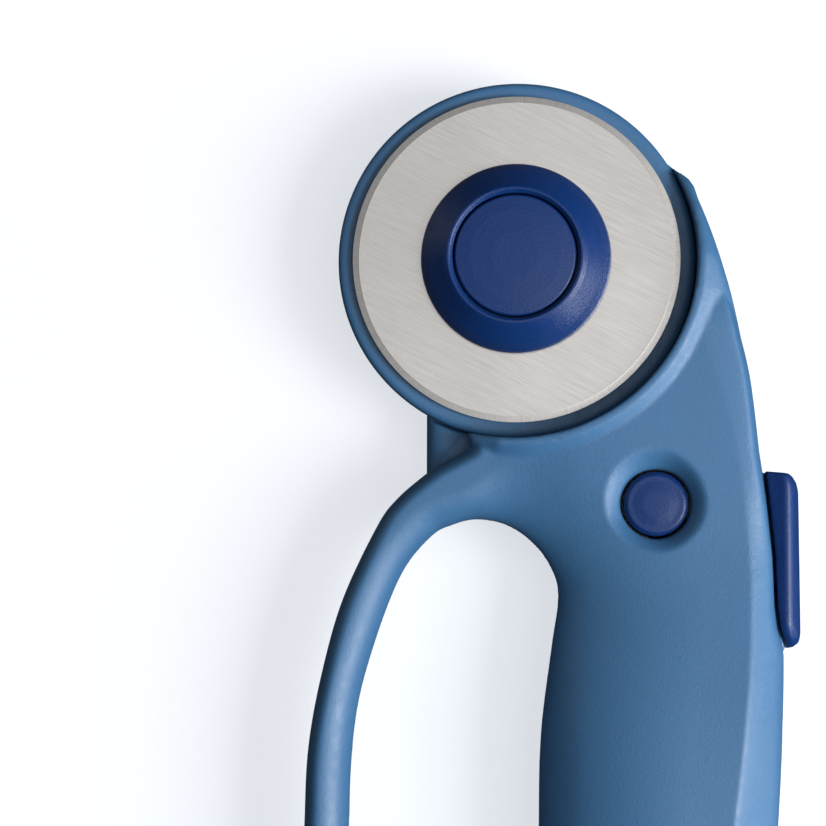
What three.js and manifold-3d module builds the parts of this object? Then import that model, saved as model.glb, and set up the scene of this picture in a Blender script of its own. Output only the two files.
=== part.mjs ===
// A loop-handled rotary cutter for cloth, lying on its flat back with the blade side up.
// Millimetres, +Z up, +Y towards the blade. The origin is on the flat back, under the blade's axis.

import * as THREE from 'three';
import { mergeVertices } from 'three/addons/utils/BufferGeometryUtils.js';
import Module from 'manifold-3d';

const wasm = await Module();
wasm.setup();

// Driving dimensions
const GAP = 0.3; // between pieces that touch
const PARTING = 10; // height where the two shells of the handle meet
const GRIP_TOP = 20; // near face of the grip
const GRIP_ROUND = 5; // rounding of the grip's long edges
const LOOP_BOTTOM = 4.2;
const LOOP_TOP = 15.8;
const LOOP_ROUND = 2.2;
const NECK_TOP = 15.6; // near face of the neck, below the raised lip
const LIP_TOP = 17.4;
const GUARD_R = 24.65; // disc behind the blade
const GUARD_BOTTOM = 9;
const GUARD_TOP = 11.5;
const SOCKET_R = GUARD_R + 0.25; // wall of the near shell round the disc
const LIP_START = 27; // degrees, upper end of the lip
const LIP_END = -105; // degrees, lower left end of the lip
const BLADE_R = 22.5; // standard 45 mm blade
const BLADE_HOLE_R = 4;
const BLADE_BOTTOM = 12.3;
const BLADE_THICK = 0.3;
const BEVEL_WIDTH = 0.85; // ground edge of the blade
const SLIDE_ANGLE = THREE.MathUtils.degToRad(29.4); // blade travel, turned from +Y towards -X
const BLADE_TRAVEL = 6;
const LOCK_DISTANCE = 38.73; // from the blade's axis back to the lock button
const LOCK_TRAVEL = 2.5;
const CARRIAGE_BOTTOM = 5;
const CARRIAGE_TOP = 7.5;
const ARM_HALF = 5.2; // half width of the carriage arm
const DETENT_SIDE = ARM_HALF + 0.5; // inner side of the detent spring
const LINK = new THREE.Vector2(27, -44); // link pin between thumb slider and carriage
const LINK_R = 1;
const KNOB_R = 13.06;
const KNOB_BOTTOM = 12.9;
const KNOB_FLOOR = 13.9;
const BUTTON_R = 8.15;
const STUD_R = 3.7; // axle through the blade
const COARSE = 12; // segments of a full turn on small round pieces
const ROUND = 24;
const FINE = 36;
const FINEST = 64;

// Directions along and across the blade's travel
const travel = new THREE.Vector2(-Math.sin(SLIDE_ANGLE), Math.cos(SLIDE_ANGLE));
const lockPlace = travel.clone().multiplyScalar(-LOCK_DISTANCE);
const linkShift = BLADE_TRAVEL * Math.sin(SLIDE_ANGLE); // sideways run of the pin in its cross slot
const sliderTravel = BLADE_TRAVEL * Math.cos(SLIDE_ANGLE);

// Screws through the shells: x, y and how high the tip reaches
const SHELL_SCREWS = [
  [27.2, -10, 13.4],
  [-3.4, -30.6, 13.4],
  [20, -68, 16.6],
  [19, -104, 16.6],
  [11, -136, 16.6],
];
// Screws from the back into the guard disc, on one circle: degrees
const GUARD_SCREW_CIRCLE = 15;
const GUARD_SCREWS = [25, 198, 255];

const BLUE = { color: 0x4b73a5, roughness: 0.55, metalness: 0 };
const NAVY = { color: 0x1c3f82, roughness: 0.45, metalness: 0 };
const STEEL = { color: 0xc8c6c2, roughness: 0.3, metalness: 1 };
const SCREW = { color: 0x8d8f92, roughness: 0.4, metalness: 1 };
const SPRING = { color: 0x9a9da0, roughness: 0.35, metalness: 1 };
const ACETAL = { color: 0xe4e2da, roughness: 0.5, metalness: 0 };

// Geometry helpers

const point = (x, y) => new THREE.Vector2(x, y);
const points = (pairs) => pairs.map(([x, y]) => point(x, y));
const polar = (radius, degrees) => {
  const angle = THREE.MathUtils.degToRad(degrees);
  return point(radius * Math.cos(angle), radius * Math.sin(angle));
};

function toSolid(source) {
  source.deleteAttribute('normal');
  source.deleteAttribute('uv');
  const merged = mergeVertices(source, 1e-4);
  const index = merged.index.array;
  const kept = [];
  for (let i = 0; i < index.length; i += 3) {
    const [a, b, c] = [index[i], index[i + 1], index[i + 2]];
    if (a !== b && b !== c && c !== a) kept.push(a, b, c);
  }
  return new wasm.Manifold(new wasm.Mesh({
    numProp: 3,
    vertProperties: new Float32Array(merged.attributes.position.array),
    triVerts: new Uint32Array(kept),
  }));
}

function toGeometry(solid) {
  const { vertProperties, triVerts } = solid.getMesh();
  const geometry = new THREE.BufferGeometry();
  geometry.setAttribute('position', new THREE.BufferAttribute(vertProperties, 3));
  geometry.setIndex(new THREE.BufferAttribute(triVerts, 1));
  geometry.computeVertexNormals();
  return geometry;
}

function slab(shape, bottom, top, bevel = 0, bevelSegments = 2, curveSegments = 3) {
  const geometry = new THREE.ExtrudeGeometry(shape, {
    depth: top - bottom - 2 * bevel,
    bevelEnabled: bevel > 0,
    bevelThickness: bevel,
    bevelSize: bevel,
    bevelOffset: -bevel,
    bevelSegments,
    curveSegments,
  });
  return toSolid(geometry.translate(0, 0, bottom + bevel));
}

// A round solid about a vertical axis, from a profile of [radius, height] that runs up the outside
function turned(profile, x = 0, y = 0, segments = COARSE) {
  const geometry = new THREE.LatheGeometry(points(profile), segments);
  return toSolid(geometry.rotateX(Math.PI / 2).translate(x, y, 0));
}

const rod = (radius, bottom, top, x = 0, y = 0, segments = COARSE) =>
  turned([[0, bottom], [radius, bottom], [radius, top], [0, top]], x, y, segments);

const washer = (inner, outer, bottom, top, x = 0, y = 0, segments = COARSE) =>
  turned([[inner, bottom], [outer, bottom], [outer, top], [inner, top], [inner, bottom]],
    x, y, segments);

function block(low, high) {
  const size = high.map((value, i) => value - low[i]);
  const geometry = new THREE.BoxGeometry(...size);
  return toSolid(geometry.translate(...low.map((value, i) => value + size[i] / 2)));
}

// A slot's outline with round ends, of the given half width, about the line from start to end
function slotShape(start, end, half) {
  const along = end.clone().sub(start).angle();
  const shape = new THREE.Shape();
  shape.absarc(start.x, start.y, half, along + Math.PI / 2, along + 1.5 * Math.PI);
  shape.absarc(end.x, end.y, half, along - Math.PI / 2, along + Math.PI / 2);
  shape.closePath();
  return shape;
}

// A point given along and across the carriage's path
const onPath = (across, along) => point(across, along).rotateAround(point(0, 0), SLIDE_ANGLE);

const subtractAll = (solid, cuts) => cuts.reduce((left, cut) => left.subtract(cut), solid);
const addAll = (solid, extras) => extras.reduce((sum, extra) => sum.add(extra), solid);

const model = new THREE.Group();

function add(name, solid, finish) {
  const mesh = new THREE.Mesh(toGeometry(solid), new THREE.MeshStandardMaterial(finish));
  mesh.name = name;
  model.add(mesh);
}

// Outlines of the handle

const BACK_EDGE = [[24.3, 9.9], [24.9, 8], [26.8, 3], [28.9, -3.6], [30.6, -10.2], [32.05, -16.8],
  [33.2, -26.7]];
const SLIDER_SEAT = [[33.55, -29], [34.2, -34], [34.9, -40.7], [35.15, -47.5], [35.6, -50.5],
  [36.45, -54.1]];
const RIGHT_SIDE = [[36.3, -62], [35.5, -77.7], [33.9, -95], [31, -112], [27.2, -126],
  [20.5, -138.5]];
const LOOP_OUTER = [[11, -145.6], [1, -147.5], [-9, -143.6], [-18, -134], [-24.4, -120.5],
  [-27.8, -106], [-29, -91], [-28.9, -76.3], [-28.4, -66.4], [-26.6, -56.5], [-23.8, -46.6],
  [-19.1, -36.6], [-16.3, -32.8], [-12.6, -29.6]];
const OPENING = [[-5.35, -35.8], [-8.6, -36.5], [-11.6, -38.1], [-15.7, -43.3], [-19.5, -53.2],
  [-21.9, -63.1], [-22.7, -76.3], [-22.3, -91], [-20.2, -106], [-15.6, -119], [-8, -124.5],
  [-0.6, -118], [2.8, -106], [3.2, -92], [3, -77], [3.3, -64.7], [4.7, -53.2], [5.6, -46],
  [4.4, -42], [2, -38.9], [-1.4, -36.6]];

// The whole handle seen from the near side, without the lip
function handleShape() {
  const shape = new THREE.Shape();
  shape.moveTo(33.2, -26.7);
  for (const [x, y] of SLIDER_SEAT) shape.lineTo(x, y);
  shape.splineThru(points([...RIGHT_SIDE, ...LOOP_OUTER]));
  shape.lineTo(-8, -26.6);
  shape.closePath();
  const opening = new THREE.Path();
  opening.moveTo(...OPENING[0]);
  opening.splineThru(points([...OPENING.slice(1), OPENING[0]]));
  shape.holes.push(opening);
  return shape;
}

// The thick part that the palm holds
function gripShape() {
  const shape = new THREE.Shape();
  shape.moveTo(33.2, -30);
  shape.lineTo(34.8, -47.5);
  shape.lineTo(36.1, -54.3);
  shape.splineThru(points([[35.9, -62], [35.1, -77.7], [33.5, -95], [30.6, -112], [26.8, -126],
    [20, -138.5], [10, -145], [3, -141], [1.6, -130], [2.8, -118], [3.6, -104], [3.6, -91],
    [3.4, -77], [3.7, -64.7], [5.1, -53.2], [6.1, -46]]));
  shape.lineTo(5.2, -40);
  shape.lineTo(9, -31);
  shape.closePath();
  return shape;
}

// The neck under the lip, which wraps the guard disc's socket
function nearHeadShape() {
  const lipStart = polar(SOCKET_R, LIP_START);
  const shape = new THREE.Shape();
  shape.moveTo(lipStart.x, lipStart.y);
  shape.lineTo(22.4, 12);
  shape.lineTo(23.5, 11.1);
  shape.splineThru(points(BACK_EDGE));
  shape.lineTo(34.95, -45.6);
  shape.lineTo(6.4, -45.6);
  shape.lineTo(4.8, -41.8);
  shape.splineThru(points([[1.8, -38.3], [-5.35, -35.8]]));
  shape.lineTo(-10, -34.6);
  shape.lineTo(-12.6, -29.6);
  shape.lineTo(-7.2, -25.9);
  const from = THREE.MathUtils.degToRad(LIP_END);
  shape.absarc(0, 0, SOCKET_R, from, THREE.MathUtils.degToRad(LIP_START), false);
  return shape;
}

// The housing behind the guard disc, which holds the blade carriage
function farHeadShape() {
  const shape = new THREE.Shape();
  shape.moveTo(24.9, 8);
  shape.splineThru(points(BACK_EDGE.slice(2)));
  shape.lineTo(34.95, -45.6);
  shape.lineTo(6.4, -45.6);
  shape.lineTo(4.8, -41.8);
  shape.splineThru(points([[1.8, -38.3], [-5.35, -35.8]]));
  shape.lineTo(-9.4, -34.2);
  shape.lineTo(-12.55, -29.6);
  shape.lineTo(-12.55, -20.5);
  shape.splineThru(points([[-16.2, -13.5], [-18.8, -4], [-17.4, 7], [-11.4, 15], [-3, 18.4],
    [7, 18.6], [16, 16], [20.4, 13.9]]));
  shape.lineTo(22, 12.6);
  shape.lineTo(23.3, 11.5);
  shape.lineTo(24.3, 10);
  shape.closePath();
  return shape;
}

// Side view of the near face: it rises from the neck to the grip
function nearFaceWedge() {
  const shape = new THREE.Shape(points([[-30, -5], [-30, NECK_TOP], [-37, NECK_TOP],
    [-50, NECK_TOP + 2.6], [-66, GRIP_TOP], [-150, GRIP_TOP], [-150, -5]]));
  const geometry = new THREE.ExtrudeGeometry(shape, { depth: 80, bevelEnabled: false });
  const axes = [new THREE.Vector3(0, 1, 0), new THREE.Vector3(0, 0, 1), new THREE.Vector3(1, 0, 0)];
  geometry.applyMatrix4(new THREE.Matrix4().makeBasis(...axes)).translate(-40, 0, 0);
  return toSolid(geometry);
}

function lipRing() {
  return turned([[SOCKET_R, PARTING], [30.4, PARTING], [30.2, NECK_TOP], [28.6, 16.2],
    [27.2, 17.1], [26.1, LIP_TOP], [25.3, 17.1], [SOCKET_R, 16.5], [SOCKET_R, PARTING]], 0, 0, FINE);
}

// The handle

const wide = 200;
const above = block([-wide, -wide, PARTING + GAP / 2], [wide, wide, 40]);
const below = block([-wide, -wide, -5], [wide, wide, PARTING - GAP / 2]);
const grip = slab(gripShape(), 0, GRIP_TOP, GRIP_ROUND, 3).intersect(nearFaceWedge());
const handle = slab(handleShape(), LOOP_BOTTOM, LOOP_TOP, LOOP_ROUND, 2).add(grip);

// Room inside both shells for the carriage, its lug, the slider arm and the empty grip
const armRoom = slotShape(onPath(0, BLADE_TRAVEL), onPath(0, -54), ARM_HALF + 0.5);
const ringRoom = slotShape(point(0, 0), onPath(0, BLADE_TRAVEL), 9);
const lugRoom = block([18, -47.2, CARRIAGE_BOTTOM - 0.4], [32.6, -35.6, 12.2]);
const armSlot = block([23, -47.6, 8], [50, -33.6, 12]);

function gripRoomShape() {
  const shape = new THREE.Shape();
  shape.moveTo(31, -57);
  shape.splineThru(points([[31.2, -77], [29.4, -95], [26.6, -112], [22.6, -126], [16, -134],
    [10, -134], [8, -120], [8.4, -95], [8.4, -77], [9.4, -57]]));
  shape.closePath();
  return shape;
}
const gripRoom = slab(gripRoomShape(), 2.4, GRIP_TOP - 2.4, 1.5, 1);

const bossPlaces = SHELL_SCREWS.filter(([, y]) => y < -50);
const gripBosses = bossPlaces.map(([x, y]) => rod(3.6, 1, GRIP_TOP - 1, x, y));

function nearShell() {
  const head = slab(nearHeadShape(), PARTING, NECK_TOP, 0, 1, 4);
  const lip = lipRing().intersect(slab(nearHeadShape(), PARTING, LIP_TOP + 1, 0, 1, 4));
  const outside = addAll(handle, [head, lip]).intersect(above);
  const hollow = subtractAll(outside, [gripRoom, lugRoom, armSlot]);
  const bossed = addAll(hollow, gripBosses.map((boss) => boss.intersect(above)));
  const { x, y } = lockPlace;
  const dish = turned([[0, 14.2], [4.7, 14.2], [6.4, NECK_TOP], [7.9, 18], [0, 18]], x, y, ROUND);
  return subtractAll(bossed, [
    rod(SOCKET_R, -1, 40, 0, 0, FINEST),
    dish,
    rod(4.7, PARTING - 1, 30, x, y, ROUND),
    rod(6.4, PARTING - 1, 12.6, x, y, ROUND),
    ...SHELL_SCREWS.map(([sx, sy, tip]) => rod(1.7, PARTING - 1, tip + GAP, sx, sy, 12)),
  ]);
}

// Ledge of the far shell that runs under the thumb slider
function sliderShelf() {
  const shape = new THREE.Shape(points([[30, -28], [35.4, -29.3], [37, -48], [37, -53], [36, -55],
    [30, -56]]));
  return slab(shape, 1.2, 5, 0.4, 1);
}

function farShell() {
  const head = slab(farHeadShape(), 0, 11.8, 1.6, 2).intersect(below);
  const outside = addAll(handle.intersect(below), [head, sliderShelf()]);
  const bossed = addAll(subtractAll(outside, [gripRoom]), gripBosses.map((boss) => boss.intersect(below)));
  const { x, y } = lockPlace;
  return subtractAll(bossed, [
    rod(SOCKET_R, GUARD_BOTTOM - GAP, 40, 0, 0, FINEST),
    slab(armRoom, CARRIAGE_BOTTOM - 0.4, 30),
    slab(ringRoom, 3.2, 30),
    slab(springRoomShape(), CARRIAGE_BOTTOM - 0.4, 30),
    lugRoom,
    armSlot,
    rod(4, -1, 30, x, y, ROUND),
    ...SHELL_SCREWS.map(([sx, sy]) => rod(1.7, 0, 30, sx, sy, 12)),
    ...SHELL_SCREWS.map(([sx, sy]) => rod(3, -1, 3.6, sx, sy, COARSE)),
    ...guardScrewPlaces.map((place) => rod(1.6, 0, 30, place.x, place.y, 12)),
    ...guardScrewPlaces.map((place) => rod(2.7, -1, 3.2, place.x, place.y, COARSE)),
  ]);
}

const guardScrewPlaces = GUARD_SCREWS.map((degrees) => polar(GUARD_SCREW_CIRCLE, degrees));

function guardPlate() {
  const disc = turned([[0, GUARD_BOTTOM], [GUARD_R - 0.6, GUARD_BOTTOM], [GUARD_R, GUARD_BOTTOM + 0.6],
    [GUARD_R, GUARD_TOP - 0.7], [GUARD_R - 0.7, GUARD_TOP], [0, GUARD_TOP]], 0, 0, FINEST);
  const slot = slab(slotShape(point(0, 0), onPath(0, BLADE_TRAVEL), STUD_R + 0.6), 0, 30);
  const holes = guardScrewPlaces.map(({ x, y }) => rod(1.6, 0, 10.9, x, y, 12));
  return subtractAll(disc, [slot, ...holes]);
}

add('near_shell', nearShell(), BLUE);
add('far_shell', farShell(), BLUE);
add('guard_plate', guardPlate(), BLUE);

// Screws, driven from the flat back, with a cross recess
function screw(x, y, head, headHeight, shank, bottom, tip) {
  const body = turned([[0, bottom], [head, bottom], [head, bottom + headHeight],
    [shank, bottom + headHeight], [shank, tip - 0.6], [0, tip]], x, y);
  const reach = head * 0.6;
  const width = head * 0.14;
  return subtractAll(body, [
    block([x - reach, y - width, bottom - 1], [x + reach, y + width, bottom + headHeight * 0.5]),
    block([x - width, y - reach, bottom - 1], [x + width, y + reach, bottom + headHeight * 0.5]),
  ]);
}
SHELL_SCREWS.forEach(([x, y, tip], i) => {
  add(`shell_screw_${i + 1}`, screw(x, y, 2.6, 1.8, 1.4, 1.5, tip), SCREW);
});
guardScrewPlaces.forEach(({ x, y }, i) => {
  add(`guard_screw_${i + 1}`, screw(x, y, 2.3, 1.6, 1.3, 1.3, 10.5), SCREW);
});

// Detent spring beside the carriage arm, held by its own screw
const detentScrew = onPath(DETENT_SIDE + 2.6, -18);

function springRoomShape() {
  const corners = [[4, -13.5], [DETENT_SIDE + 5.2, -13.5], [DETENT_SIDE + 5.2, -22.5],
    [DETENT_SIDE + 2.4, -24], [DETENT_SIDE + 2.4, -35], [4, -35]];
  return new THREE.Shape(corners.map(([across, along]) => onPath(across, along)));
}

function detentSpring() {
  const inner = DETENT_SIDE;
  const leaf = [[inner + 0.5, -15.4], [inner + 4.6, -15.4], [inner + 4.6, -20.6],
    [inner + 1.2, -20.6], [inner + 1.2, -27], [inner + 0.6, -29], [inner + 1.2, -31],
    [inner + 1.7, -33.6], [inner + 1.2, -33.6], [inner + 0.7, -31], [inner, -29], [inner + 0.6, -27]];
  const shape = new THREE.Shape(leaf.map(([across, along]) => onPath(across, along)));
  const hole = rod(0.95, 0, 30, detentScrew.x, detentScrew.y, 12);
  return slab(shape, CARRIAGE_BOTTOM - 0.1, CARRIAGE_TOP - 0.6).subtract(hole);
}
add('detent_spring', detentSpring(), SPRING);
add('detent_screw', turned([[0, 5], [0.65, 5], [0.65, 7.2], [1.6, 7.2], [1.6, 8.2], [0, 8.2]],
  detentScrew.x, detentScrew.y, 16), SCREW);

// Thumb slider on the back edge, and the pin that drives the carriage

function sliderShape() {
  const shape = new THREE.Shape();
  shape.moveTo(33.9, -29.2);
  shape.lineTo(37, -29.5);
  shape.splineThru(points([[37.6, -29.9], [38.2, -30.7], [38.55, -32]]));
  for (const [x, y] of [[38.9, -51.2], [38.5, -52.3], [37.7, -53], [36.7, -53.2], [35.9, -50.8],
    [35.4, -47.6], [35.15, -40.8], [34.5, -34]]) shape.lineTo(x, y);
  shape.closePath();
  return shape;
}

function thumbSlider() {
  const cap = slab(sliderShape(), 5.5, 14.5, 0.5, 1);
  const arm = block([25, -47.2, 8.35], [36.6, -39.3, 11.65]);
  return cap.add(arm).subtract(rod(LINK_R + GAP, 0, 30, LINK.x, LINK.y, 16));
}
add('thumb_slider', thumbSlider(), NAVY);
add('link_pin', rod(LINK_R, CARRIAGE_BOTTOM + 0.1, 11.5, LINK.x, LINK.y, 16), SCREW);

// Blade carriage: a ring for the axle, an arm, and a tail with the lock slot and the cross slot

function bladeCarriage() {
  const arm = slab(slotShape(point(0, 0), onPath(0, -48), ARM_HALF), CARRIAGE_BOTTOM, CARRIAGE_TOP);
  const ring = rod(8.2, CARRIAGE_BOTTOM, CARRIAGE_TOP, 0, 0, ROUND);
  const lug = block([23, LINK.y - 2.6, CARRIAGE_BOTTOM], [32.2, LINK.y + 2.6, CARRIAGE_TOP]);
  const lockEnd = onPath(0, -LOCK_DISTANCE - BLADE_TRAVEL);
  const crossEnd = point(LINK.x + linkShift, LINK.y);
  return subtractAll(addAll(arm, [ring, lug]), [
    rod(STUD_R + GAP, 0, 30, 0, 0, ROUND),
    slab(slotShape(lockPlace, lockEnd, 2.6), 0, 30),
    rod(3.8, 0, 30, lockPlace.x, lockPlace.y, ROUND),
    rod(3.8, 0, 30, lockEnd.x, lockEnd.y, ROUND),
    slab(slotShape(LINK, crossEnd, LINK_R + GAP), 0, 30),
  ]);
}
add('blade_carriage', bladeCarriage(), ACETAL);

// Axle: a flanged stud that clips to the carriage, carries the blade and holds the knob
const axle = turned([[0, 3.7], [6, 3.7], [6, CARRIAGE_BOTTOM - GAP], [STUD_R, CARRIAGE_BOTTOM - GAP],
  [STUD_R, 7.9], [STUD_R - 0.5, 7.9], [STUD_R - 0.5, 8.6], [STUD_R, 8.6], [STUD_R, 12.6],
  [3, 12.6], [3, 13.9], [2.5, 14.05], [2.5, 14.6], [3, 14.75], [0, 14.75]], 0, 0, ROUND);
add('axle_stud', axle, STEEL);

// An open ring, cut on one side so that it springs on
function openRing(inner, outer, bottom, top, x, y, mouth) {
  const cut = block([x, y - mouth / 2, bottom - 1], [x + outer + 1, y + mouth / 2, top + 1]);
  return washer(inner, outer, bottom, top, x, y, ROUND).subtract(cut);
}
add('axle_clip', openRing(STUD_R - 0.2, 5.8, 8, 8.5, 0, 0, 3.4), SPRING);
add('blade_washer', washer(STUD_R + GAP, 8, GUARD_TOP + 0.2, BLADE_BOTTOM - 0.2, 0, 0, ROUND), ACETAL);

// Blade, ground on both faces to a thin edge
const bladeTop = BLADE_BOTTOM + BLADE_THICK;
const edgeLow = BLADE_BOTTOM + BLADE_THICK / 2 - 0.03;
const edgeHigh = edgeLow + 0.06;
add('rotary_blade', turned([[BLADE_HOLE_R, BLADE_BOTTOM], [BLADE_R - BEVEL_WIDTH, BLADE_BOTTOM],
  [BLADE_R, edgeLow], [BLADE_R, edgeHigh], [BLADE_R - BEVEL_WIDTH, bladeTop],
  [BLADE_HOLE_R, bladeTop], [BLADE_HOLE_R, BLADE_BOTTOM]], 0, 0, FINEST), STEEL);

// Knob: a dished ring over the blade with a release button in its middle
add('blade_knob', turned([[3.4, KNOB_BOTTOM], [12.6, KNOB_BOTTOM], [KNOB_R, 13.25], [12.8, 13.9],
  [11.2, 15.6], [9.9, 17], [9.3, 17.3], [8.8, 17.1], [8.5, 16.2], [8.5, KNOB_FLOOR],
  [3.4, KNOB_FLOOR], [3.4, KNOB_BOTTOM]], 0, 0, FINE), NAVY);
add('release_button', turned([[6.4, 15.5], [BUTTON_R, 15.5], [BUTTON_R, 16.7], [7.8, 16.95],
  [4, 17.15], [0, 17.25], [0, 16.6], [6.4, 16.6], [6.4, 15.5]], 0, 0, FINE), NAVY);
add('latch_clip', openRing(3.25, 5.6, 14.2, 14.5, 0, 0, 4.4), SPRING);
add('release_spring', washer(3.8, 5.6, 14.75, 15.5, 0, 0, ROUND), SPRING);

// Lock: a cross bolt whose thick waist drops into the wide ends of the carriage's slot
const { x: lockX, y: lockY } = lockPlace;
const waistBottom = CARRIAGE_TOP + 0.4;
add('lock_button', turned([[1.1, 5], [2.2, 5], [2.2, waistBottom], [3.4, waistBottom], [3.4, 11],
  [4.3, 11], [4.3, 14.6], [3.9, 15], [0, 15.25], [0, 9], [1.1, 9], [1.1, 5]], lockX, lockY, ROUND), NAVY);
add('unlock_cap', turned([[1.1, 4.1], [1.9, 4.1], [1.9, 2.9], [3.3, 2.9], [3.6, 3.2], [3.6, 4.7],
  [1.1, 4.7], [1.1, 4.1]], lockX, lockY, ROUND), NAVY);
add('lock_screw', screw(lockX, lockY, 1.6, 0.8, 0.8, 3, 8.6), SCREW);
add('lock_clip', openRing(4.6, 6.1, PARTING + 0.4, PARTING + 1, lockX, lockY, 5), SPRING);

export default model;
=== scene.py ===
"""Looks of the loop-handled rotary cutter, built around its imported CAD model.

Shapes are worked out in millimetres in the CAD's frame, as fields that are positive inside the
material, and meshed in metres. The cutter lies on its flat back with the blade side up (+Z).
"""

import math

import bpy
import numpy as np
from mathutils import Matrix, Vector


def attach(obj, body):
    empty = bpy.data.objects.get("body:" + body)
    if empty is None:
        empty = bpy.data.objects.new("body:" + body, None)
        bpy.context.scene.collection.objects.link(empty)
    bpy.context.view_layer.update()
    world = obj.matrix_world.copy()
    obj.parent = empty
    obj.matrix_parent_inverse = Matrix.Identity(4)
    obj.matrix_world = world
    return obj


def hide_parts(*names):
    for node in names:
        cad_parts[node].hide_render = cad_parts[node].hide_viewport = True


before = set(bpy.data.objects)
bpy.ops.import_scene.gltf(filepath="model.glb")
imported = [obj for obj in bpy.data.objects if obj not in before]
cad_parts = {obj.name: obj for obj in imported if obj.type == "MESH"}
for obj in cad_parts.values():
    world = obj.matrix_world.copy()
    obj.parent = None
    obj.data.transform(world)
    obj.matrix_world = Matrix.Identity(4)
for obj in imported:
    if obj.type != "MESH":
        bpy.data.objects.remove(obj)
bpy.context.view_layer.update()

MM = 0.001

# ---------------------------------------------------------------- dimensions shared with the CAD

PARTING = 10.0  # height where the two shells of the handle meet
HALF_GAP = 0.15
LOOP_BOTTOM = 4.2
LIP_TOP = 17.4
GRIP_TOP = 20.0
GUARD_R = 24.65
GUARD_BOTTOM = 9.0
GUARD_TOP = 11.5
SOCKET_R = 24.9
BLADE_R = 22.5
BLADE_BOTTOM = 12.3
BLADE_TOP = 12.6
BEVEL_R = 21.65  # where the ground edge of the blade starts
BLADE_HOLE_R = 4.0
KNOB_BOTTOM = 12.9
SLIDE_ANGLE = math.radians(29.4)
BLADE_TRAVEL = 6.0  # of the carriage, along the slide
ALONG = np.array([-math.sin(SLIDE_ANGLE), math.cos(SLIDE_ANGLE)])
ACROSS = np.array([math.cos(SLIDE_ANGLE), math.sin(SLIDE_ANGLE)])
LOCK = -38.73 * ALONG
LINK = (27.0, -44.0)
LINK_R = 1.3

TIP = [(21.75, 12.15), (22.7, 11.75), (23.7, 10.9), (24.4, 9.8)]
BACK_EDGE = [(24.9, 8), (26.8, 3), (28.9, -3.6), (30.6, -10.2), (32.05, -16.8), (33.2, -26.7)]
RIGHT_SIDE = [(36.3, -62), (35.5, -77.7), (33.9, -95), (31, -112), (27.2, -126), (20.5, -138.5)]
LOOP_OUTER = [(11, -145.6), (1, -147.5), (-9, -143.6), (-18, -134), (-24.4, -120.5),
              (-27.8, -106), (-29, -91), (-28.9, -76.3), (-28.4, -66.4), (-26.6, -56.5),
              (-23.8, -46.6), (-19.1, -36.6), (-16.3, -32.8), (-12.6, -29.6)]
OPENING = [(-5.35, -35.8), (-8.6, -36.5), (-11.6, -38.1), (-15.7, -43.3), (-19.5, -53.2),
           (-21.9, -63.1), (-22.7, -76.3), (-22.3, -91), (-20.2, -106), (-15.6, -119),
           (-8, -124.5), (-0.6, -118), (2.8, -106), (3.2, -92), (3, -77), (3.3, -64.7),
           (4.7, -53.2), (5.6, -46), (4.4, -42), (2, -38.9), (-1.4, -36.6)]
GRIP_ROOM = [(31, -57), (31.2, -77), (29.4, -95), (26.6, -112), (22.6, -126), (16, -134),
             (10, -134), (8, -120), (8.4, -95), (8.4, -77), (9.4, -57)]
SEAT = [(33.55, -29), (34.2, -34), (34.9, -40.7), (35.15, -47.5), (35.6, -50.5), (36.45, -54.1)]
SMOOTH_EDGE = [*BACK_EDGE, (34.8, -42), (36.1, -54), *RIGHT_SIDE]  # as if there was no seat
SHELF = [(30, -28), (35.4, -29.3), (37, -48), (37, -53), (36, -55), (30, -56)]
SHELF_BOTTOM = 1.2
SHELF_TOP = 5.0

WALL = 2.2  # thickness of the shells round the hollow grip
SHORT_TIP = 13.4
LONG_TIP = 16.6
SHELL_SCREWS = [(27.2, -10, SHORT_TIP), (-3.4, -30.6, SHORT_TIP), (20, -68, LONG_TIP),
                (19, -104, LONG_TIP), (11, -136, LONG_TIP)]
SHELL_BORE = 1.7
BOSS_R = 3.6
GUARD_BORE = 1.6
GUARD_SCREWS = [(15 * math.cos(math.radians(a)), 15 * math.sin(math.radians(a)))
                for a in (25, 198, 255)]
LINK_POCKET = ((18, -47.2), (32.6, -35.6))  # room for the carriage's end and the link pin
ARM_POCKET = ((23, -47.6), (50, -33.6))  # room for the thumb slider's arm

# ---------------------------------------------------------------- camera and light, in metres

scene = bpy.context.scene
scene.view_settings.view_transform = "Standard"
scene.view_settings.look = "None"


def make_camera():
    data = bpy.data.cameras.new("camera")
    data.sensor_width = 36
    data.lens = 126.64
    data.clip_start = 0.01
    data.clip_end = 10
    camera = bpy.data.objects.new("camera", data)
    camera.location = (0.0114, -0.0495, 0.409)
    camera.rotation_euler = (0.0713, 0.0640, 0.0034)
    scene.collection.objects.link(camera)
    scene.camera = camera


def area_light(name, place, target, size, power):
    data = bpy.data.lights.new(name, "AREA")
    data.shape = "RECTANGLE"
    data.size, data.size_y = size
    data.energy = power
    lamp = bpy.data.objects.new(name, data)
    lamp.location = place
    toward = np.subtract(target, place)
    lamp.rotation_euler = Vector(toward).to_track_quat("-Z", "Y").to_euler()
    scene.collection.objects.link(lamp)


def make_world(strength):
    world = bpy.data.worlds.new("studio")
    world.use_nodes = True
    back = world.node_tree.nodes["Background"]
    back.inputs["Color"].default_value = (0.9, 0.95, 1, 1)
    back.inputs["Strength"].default_value = strength
    scene.world = world


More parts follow.
